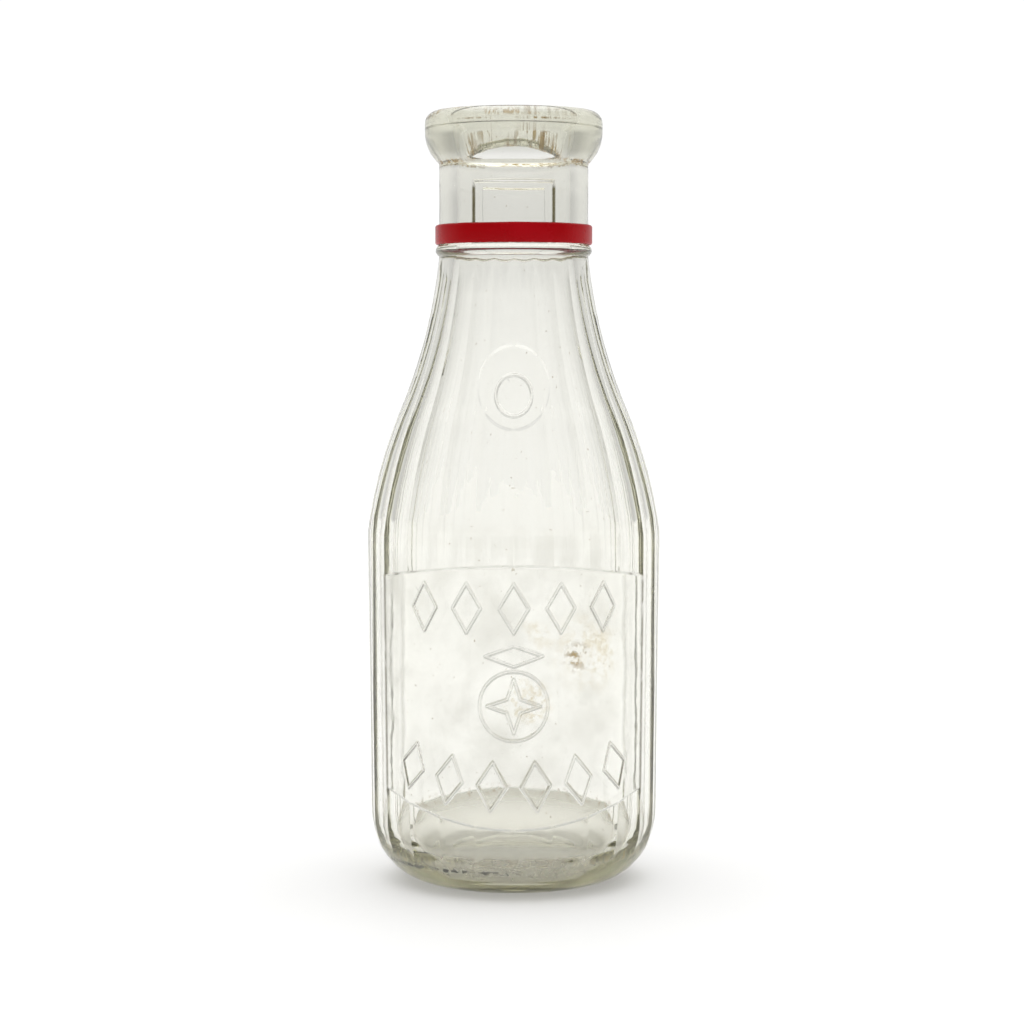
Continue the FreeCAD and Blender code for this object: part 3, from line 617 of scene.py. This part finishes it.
# ---------------------------------------------------------------------------------------------
# Materials
# ---------------------------------------------------------------------------------------------
class Nodes:
    """A short way to build a node tree."""

    def __init__(self, tree):
        self.tree = tree

    def add(self, kind, **settings):
        """A new node with these settings."""
        node = self.tree.nodes.new(kind)
        for key, value in settings.items():
            setattr(node, key, value)
        return node

    def link(self, source, target):
        self.tree.links.new(source, target)

    def math(self, operation, first, second=0.5, clamp=False):
        """A math node's result; each value is a number or another node's output."""
        node = self.add("ShaderNodeMath", operation=operation, use_clamp=clamp)
        for socket, value in zip(node.inputs, (first, second)):
            if isinstance(value, (int, float)):
                socket.default_value = value
            else:
                self.link(value, socket)
        return node.outputs[0]

    def times(self, *values):
        """Product of several values."""
        result = values[0]
        for value in values[1:]:
            result = self.math("MULTIPLY", result, value)
        return result

    def total(self, *parts):
        """Weighted sum of several values, clamped to 0..1."""
        result = self.math("MULTIPLY", parts[0][0], parts[0][1], clamp=True)
        for value, weight in parts[1:]:
            result = self.math("ADD", result, self.math("MULTIPLY", value, weight), clamp=True)
        return result

    def stain(self, place, centre, reach, pattern, low, high):
        """A soft-edged patch round a point, broken up by a pattern."""
        gap = self.add("ShaderNodeVectorMath", operation="DISTANCE")
        self.link(place, gap.inputs[0])
        gap.inputs[1].default_value = centre
        return self.math("MULTIPLY", self.ramp(gap.outputs["Value"], reach, reach * 0.2),
                         self.ramp(pattern, low, high))

    def noise(self, vector, scale, detail=2.0, rough=0.5):
        """Noise of about 0 to 1; scale is in waves per metre."""
        node = self.add("ShaderNodeTexNoise")
        node.inputs["Scale"].default_value = scale
        node.inputs["Detail"].default_value = detail
        node.inputs["Roughness"].default_value = rough
        self.link(vector, node.inputs["Vector"])
        return node.outputs["Fac"]

    def ramp(self, value, low, high, first=0.0, last=1.0, kind="SMOOTHSTEP"):
        """From first at low to last at high, clamped."""
        node = self.add("ShaderNodeMapRange", interpolation_type=kind)
        numbers = {"From Min": low, "From Max": high, "To Min": first, "To Max": last}
        for name, number in numbers.items():
            node.inputs[name].default_value = number
        self.link(value, node.inputs["Value"])
        return node.outputs["Result"]

    def mix_colour(self, share, first, second):
        """The first colour where share is 0, the second where it is 1."""
        node = self.add("ShaderNodeMix", data_type="RGBA")
        self.link(share, node.inputs["Factor"])
        for socket, value in ((node.inputs[6], first), (node.inputs[7], second)):
            if isinstance(value, tuple):
                socket.default_value = (*value, 1.0)
            else:
                self.link(value, socket)
        return node.outputs[2]


class Surface(Nodes):
    """A material's node tree, with its shader and the place of each point."""

    def __init__(self, name):
        self.material = bpy.data.materials.new(name)
        self.material.use_nodes = True
        super().__init__(self.material.node_tree)
        self.shader = self.tree.nodes["Principled BSDF"]
        self.output = self.tree.nodes["Material Output"]
        self.place = self.add("ShaderNodeTexCoord").outputs["Object"]

    def bump(self, pattern, strength, height):
        """Unevenness of the surface from a pattern, height in metres."""
        node = self.add("ShaderNodeBump")
        node.inputs["Strength"].default_value = strength
        node.inputs["Distance"].default_value = height
        self.link(pattern, node.inputs["Height"])
        self.link(node.outputs["Normal"], self.shader.inputs["Normal"])


class GlassSurface(Surface):
    """The glass, with what its layers of residue and dirt are made from."""

    def __init__(self, name):
        super().__init__(name)
        split = self.add("ShaderNodeSeparateXYZ")
        self.link(self.place, split.inputs[0])
        self.right, self.back, self.height = split.outputs
        self.inside = self.attribute("inside")
        self.outside = self.math("SUBTRACT", 1.0, self.inside)
        self.fine = self.noise(self.place, 420.0, 3.0, 0.6)
        self.coarse = self.noise(self.place, 38.0, 5.0, 0.62)

    def attribute(self, name):
        """A value that the mesh carries at its points."""
        return self.add("ShaderNodeAttribute", attribute_name=name).outputs["Fac"]


# tints of the clean glass, its lip (darkened as painted shade) and heel, and of what lies on it
GLASS_TINT, LIP_SHADE_TINT, HEEL_TINT = (0.985, 0.985, 0.978), (0.77, 0.77, 0.72), (0.98, 0.965, 0.89)
# the film's tint is partly painted shade; the edge tint is painted shade along edges and strokes
HAZE_TINT, FILM_AND_SHADE_TINT, EDGE_SHADE_TINT = (0.97, 0.965, 0.93), (0.80, 0.78, 0.66), (0.085, 0.07, 0.022)
TAN_TINT, BROWN_TINT, HEEL_DIRT_TINT = (0.68, 0.50, 0.15), (0.36, 0.205, 0.02), (0.05, 0.05, 0.045)
GLASS_IOR = 1.51
GLASS_COLOUR, GLASS_DENSITY = (0.67, 0.66, 0.47, 1.0), 26.0   # of the absorption, per metre

# centre and reach, in metres, of the stains behind the ornament
STAIN = ((0.0185, -0.037, 0.0765), 0.0062)
SMEAR = ((0.0225, -0.035, 0.0785), 0.0165)
DAB = ((0.007, -0.041, 0.0845), 0.0075)
STREAK = ((0.0045, -0.0415, 0.0625), 0.0100)


def haze_layers(n):
    """Dried milk haze inside the body, and a thinner one inside the back, behind its panel."""
    body = n.times(n.ramp(n.height, 0.018, 0.045), n.ramp(n.height, 0.118, 0.098))
    haze = n.times(n.ramp(n.coarse, 0.44, 0.72), body, n.inside)
    middle = n.ramp(n.math("ABSOLUTE", n.right), 0.0372, 0.0358)
    pane = n.times(middle, n.ramp(n.back, 0.010, 0.016), n.ramp(n.height, 0.020, 0.026),
                   n.ramp(n.height, 0.106, 0.103), n.inside, n.ramp(n.coarse, 0.30, 0.62))
    return haze, pane


def floor_layers(n):
    """A grey film on the floor, part residue and part painted shade, its edge higher at the back, and a
    brown tide line.
    """
    limit = n.math("ADD", n.math("MULTIPLY", n.back, 0.165), 0.0143)
    limit = n.math("ADD", limit, n.math("MULTIPLY", n.coarse, 0.0024))
    depth = n.math("SUBTRACT", limit, n.height)
    settled = n.math("SUBTRACT", 1.0, n.math("MULTIPLY", n.ramp(depth, 0.001, 0.008), 0.6))
    film = n.times(n.ramp(depth, -0.0006, 0.0006), n.inside, n.ramp(n.back, -0.012, 0.016), settled)
    tide = n.times(n.ramp(depth, -0.0022, -0.0002), n.ramp(depth, 0.0030, 0.0006), n.inside,
                   n.ramp(n.fine, 0.5, 0.66))
    return film, tide


def dirt_layers(n):
    """Brown dirt under the lip, black dirt on the heel, and brown crumbs round the floor."""
    side = n.ramp(n.math("ABSOLUTE", n.right), 0.006, 0.022)
    under_lip = n.times(n.ramp(n.height, 0.2304, 0.2309), n.ramp(n.height, 0.2324, 0.2316), n.outside)
    lip_dirt = n.times(under_lip, n.ramp(n.fine, 0.40, 0.6), side)
    on_heel = n.times(n.ramp(n.height, 0.0078, 0.0086), n.ramp(n.height, 0.0101, 0.0091), n.outside)
    heel_dirt = n.times(on_heel, n.ramp(n.fine, 0.47, 0.55), n.ramp(n.right, 0.010, -0.004),
                        n.ramp(n.back, 0.0, -0.01))
    crumbs = n.times(n.ramp(n.height, 0.0106, 0.0116), n.ramp(n.height, 0.0146, 0.0130), n.inside,
                     n.ramp(n.back, 0.004, -0.008), n.ramp(n.fine, 0.40, 0.56))
    return lip_dirt, heel_dirt, crumbs


def worn_lines(n):
    """Fine upright lines of wear round the rim."""
    grain = n.add("ShaderNodeMapping")
    grain.inputs["Scale"].default_value = (1.0, 1.0, 0.06)
    n.link(n.place, grain.inputs["Vector"])
    lines = n.ramp(n.noise(grain.outputs[0], 780.0, 2.0, 0.5), 0.46, 0.58)
    patches = n.ramp(n.noise(n.place, 60.0, 1.0), 0.38, 0.5)
    return n.times(n.ramp(n.height, 0.2442, 0.2456), lines, patches)


def stain_layers(n):
    """A brown stain behind the ornament, the tan ones round it, and brown specks everywhere."""
    stain = n.stain(n.place, *STAIN, n.fine, 0.46, 0.60)
    patchy = n.noise(n.place, 170.0, 5.0, 0.7)
    smear = n.stain(n.place, *SMEAR, patchy, 0.47, 0.66)
    dab = n.stain(n.place, *DAB, patchy, 0.46, 0.64)
    streak = n.stain(n.place, *STREAK, n.fine, 0.48, 0.68)
    tan = n.total((smear, 0.50), (dab, 0.40), (streak, 0.65))
    specks = n.ramp(n.noise(n.place, 650.0, 2.0, 0.5), 0.745, 0.77)
    return stain, tan, specks


def glass_material():
    """Clear old glass, faintly olive, with haze and dried residue inside and painted shade at its
    edges.
    """
    n = GlassSurface("clear_glass")
    haze, pane = haze_layers(n)
    film, tide = floor_layers(n)
    lip_dirt, heel_dirt, crumbs = dirt_layers(n)
    stain, tan, specks = stain_layers(n)
    # painted shade along the strokes' flanks and the panels' edges, broken up by noise
    edges = n.times(n.attribute("edge_shade"), n.ramp(n.noise(n.place, 160.0, 3.0, 0.6), 0.22, 0.46))
    brown = n.total((lip_dirt, 1.0), (tide, 0.45), (stain, 0.95), (specks, 0.5),
                    (worn_lines(n), 0.9), (crumbs, 0.4))

    # the lip's glass darkened grey as painted shade; the heel tinted olive
    lip = n.times(n.ramp(n.height, 0.2325, 0.2350), n.outside)
    heel = n.times(n.ramp(n.height, 0.024, 0.010), n.outside)
    tint = n.mix_colour(lip, GLASS_TINT, LIP_SHADE_TINT)
    tint = n.mix_colour(heel, tint, HEEL_TINT)
    tint = n.mix_colour(n.math("MULTIPLY", haze, 0.7), tint, HAZE_TINT)
    # the floor film, partly dried residue and partly painted shade
    tint = n.mix_colour(n.math("MULTIPLY", film, 0.9), tint, FILM_AND_SHADE_TINT)
    # the painted shade along the edges and strokes
    tint = n.mix_colour(edges, tint, EDGE_SHADE_TINT)
    tint = n.mix_colour(tan, tint, TAN_TINT)
    tint = n.mix_colour(brown, tint, BROWN_TINT)
    tint = n.mix_colour(heel_dirt, tint, HEEL_DIRT_TINT)
    n.link(tint, n.shader.inputs["Base Color"])
    rough = n.total((haze, 0.14), (film, 0.30), (tan, 0.2), (brown, 0.3), (heel_dirt, 0.3),
                    (n.fine, 0.015))
    n.link(rough, n.shader.inputs["Roughness"])

    # what covers the glass, and the painted shade along its edges, lets no light straight through
    cover = n.total((haze, 0.15), (pane, 0.09), (film, 0.42), (tan, 0.2), (brown, 0.4),
                    (heel_dirt, 0.7), (edges, 0.5))
    n.link(n.math("SUBTRACT", 1.0, cover, clamp=True), n.shader.inputs["Transmission Weight"])
    n.shader.inputs["IOR"].default_value = GLASS_IOR
    n.bump(n.noise(n.place, 95.0, 2.0), 0.10, 0.0006)

    absorb = n.add("ShaderNodeVolumeAbsorption")
    absorb.inputs["Color"].default_value = GLASS_COLOUR
    absorb.inputs["Density"].default_value = GLASS_DENSITY
    n.link(absorb.outputs[0], n.output.inputs["Volume"])
    return n.material


# the ring's red, its paler bloom and its scuffs
BAND_RED, BAND_BLOOM, BAND_SCUFF = (0.36, 0.0, 0.003), (0.41, 0.0005, 0.006), (0.5, 0.06, 0.07)


def band_material():
    """Satin red with a faint bloom and fine scuffs."""
    n = Surface("red_band")
    bloom = n.ramp(n.noise(n.place, 60.0, 4.0, 0.6), 0.35, 0.75)
    colour = n.mix_colour(bloom, BAND_RED, BAND_BLOOM)
    scuff = n.ramp(n.noise(n.place, 900.0, 3.0, 0.7), 0.66, 0.74)
    colour = n.mix_colour(n.math("MULTIPLY", scuff, 0.25), colour, BAND_SCUFF)
    n.link(colour, n.shader.inputs["Base Color"])
    n.link(n.math("ADD", n.math("MULTIPLY", bloom, 0.1), 0.24), n.shader.inputs["Roughness"])
    n.shader.inputs["Specular IOR Level"].default_value = 0.1
    n.bump(n.noise(n.place, 700.0, 2.0), 0.15, 0.0002)
    return n.material


FLOOR_DARK, FLOOR_PALE = (0.76, 0.76, 0.76), (0.78, 0.78, 0.78)
FLOOR_GLOW = 0.2             # keeps the table white where the bottle shades it


def floor_material():
    """A pale table with a faint light of its own."""
    n = Surface("pale_floor")
    colour = n.mix_colour(n.noise(n.place, 3.0, 2.0), FLOOR_DARK, FLOOR_PALE)
    n.link(colour, n.shader.inputs["Base Color"])
    n.shader.inputs["Roughness"].default_value = 0.6
    n.shader.inputs["Specular IOR Level"].default_value = 0.2
    n.shader.inputs["Emission Color"].default_value = (1, 1, 1, 1)
    n.shader.inputs["Emission Strength"].default_value = FLOOR_GLOW
    return n.material


# ---------------------------------------------------------------------------------------------
# Stage: floor, light and camera
# ---------------------------------------------------------------------------------------------
FLOOR_SIZE = 6.0


def make_floor():
    """The table that the bottle stands on."""
    bpy.ops.mesh.primitive_plane_add(size=FLOOR_SIZE, location=(0, 0, 0))
    floor = bpy.context.object
    floor.name = "floor"
    floor.data.materials.append(floor_material())


# how bright the room is: at floor level, overhead (times as bright), in its front half (times as
# bright), where the camera sees it directly, and how far its walls are greyed at the sides and back
FLOOR_LEVEL, CEILING, FRONT_HALF, SEEN_LEVEL = 1.06, 1.8, 0.45, 1.05
WALL_SIDES, WALL_BACK = 0.42, 0.20
ROOM_COLOUR, FRONT_COLOUR = (1.0, 1.0, 1.0), (1.0, 0.97, 0.86)


def make_world():
    """A pale room: white at floor level, greyer walls, a bright ceiling, a dimmer and warmer front."""
    world = bpy.data.worlds.new("studio")
    bpy.context.scene.world = world
    world.use_nodes = True
    n = Nodes(world.node_tree)
    split = n.add("ShaderNodeSeparateXYZ")
    n.link(n.add("ShaderNodeTexCoord").outputs["Generated"], split.inputs[0])
    ahead, up = split.outputs["Y"], split.outputs["Z"]
    walls = n.times(n.ramp(up, -0.03, 0.09), n.ramp(up, 0.55, 0.3))
    wall_shade = n.times(walls, n.ramp(ahead, 0.55, 0.98, WALL_SIDES, WALL_BACK))
    room = n.ramp(wall_shade, 0.0, 1.0, FLOOR_LEVEL, 0.0, "LINEAR")
    strength = n.times(room, n.ramp(up, 0.74, 0.86, 1.0, CEILING))
    front = n.times(n.ramp(ahead, 0.25, -0.3), n.ramp(up, 0.8, 0.6))
    strength = n.times(strength, n.ramp(front, 0.0, 1.0, 1.0, FRONT_HALF))

    # seen directly, the room is plain white
    seen = n.add("ShaderNodeLightPath").outputs["Is Camera Ray"]
    level = n.add("ShaderNodeMix")
    n.link(seen, level.inputs["Factor"])
    n.link(strength, level.inputs["A"])
    level.inputs["B"].default_value = SEEN_LEVEL
    warmth = n.times(front, n.math("SUBTRACT", 1.0, seen))
    background = n.tree.nodes["Background"]
    n.link(level.outputs["Result"], background.inputs["Strength"])
    n.link(n.mix_colour(warmth, ROOM_COLOUR, FRONT_COLOUR), background.inputs["Color"])


SUN_ENERGY, SUN_SPREAD, SUN_TILT = 0.02, 100, -12     # watts per square metre, degrees, degrees


def make_sun():
    """A little even light from overhead, without a shadow of its own, to lift the floor to white."""
    data = bpy.data.lights.new("overhead", "SUN")
    data.energy = SUN_ENERGY
    data.use_shadow = False
    data.angle = math.radians(SUN_SPREAD)
    sun = bpy.data.objects.new("overhead", data)
    sun.rotation_euler = (math.radians(SUN_TILT), 0, 0)
    sun.visible_glossy = False
    sun.visible_transmission = False
    bpy.context.scene.collection.objects.link(sun)


LENS, SENSOR, SHIFT = 92.3, 36.0, -0.0017     # millimetres, millimetres, share of the width
CAMERA_PLACE = (0, -0.850, 0.172)
CAMERA_DOWN = 3.56           # degrees below level


def make_camera():
    """The photograph's point of view."""
    data = bpy.data.cameras.new("camera")
    data.lens = LENS
    data.sensor_width = SENSOR
    data.shift_x = SHIFT
    camera = bpy.data.objects.new("camera", data)
    camera.location = CAMERA_PLACE
    camera.rotation_euler = (math.radians(90 - CAMERA_DOWN), 0, 0)
    bpy.context.scene.collection.objects.link(camera)
    bpy.context.scene.camera = camera


make_camera()
make_world()
make_floor()
make_sun()
bpy.context.scene.view_settings.view_transform = "Standard"

# light runs far along the thick glass walls before it leaves them
bpy.context.scene.cycles.max_bounces = 28
bpy.context.scene.cycles.transmission_bounces = 28
bpy.context.scene.cycles.glossy_bounces = 20

bottle = make_object("bottle_glass", *bottle_mesh())
bottle.data.materials.append(glass_material())
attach(bottle, "bottle")
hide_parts("glass_bottle")

band = make_object("red_ring", *band_mesh())
band.data.materials.append(band_material())
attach(band, "band")
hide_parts("neck_band")
